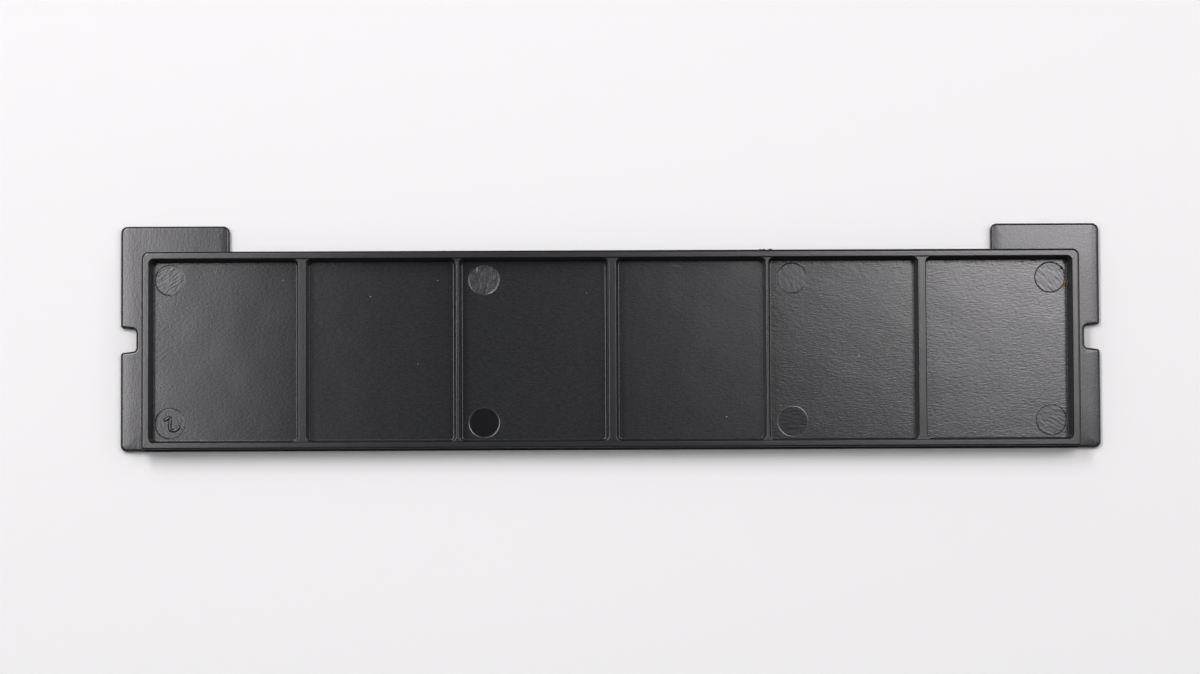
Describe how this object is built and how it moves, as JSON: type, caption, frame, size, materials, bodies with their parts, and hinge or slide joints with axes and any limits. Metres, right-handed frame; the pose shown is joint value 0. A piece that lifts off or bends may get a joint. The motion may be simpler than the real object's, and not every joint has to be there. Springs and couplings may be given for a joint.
{
  "type": "memory blank filler",
  "caption": "Flat black moulded tray with ribs, end ears, latch notches and socket tongues that fills an empty memory module socket to guide cooling air.",
  "frame": {"origin": "middle of the bounding box, on the flat back that it lies on", "axes": "+X along the length, +Y towards the tongues that enter the socket, +Z out of the open tray"},
  "size_m": [0.1334, 0.0308, 0.0052],
  "materials": {
    "black_plastic": "satin black, as moulded"
  },
  "bodies": {
    "root": {"blank_body": "black_plastic"}
  },
  "joints": []
}
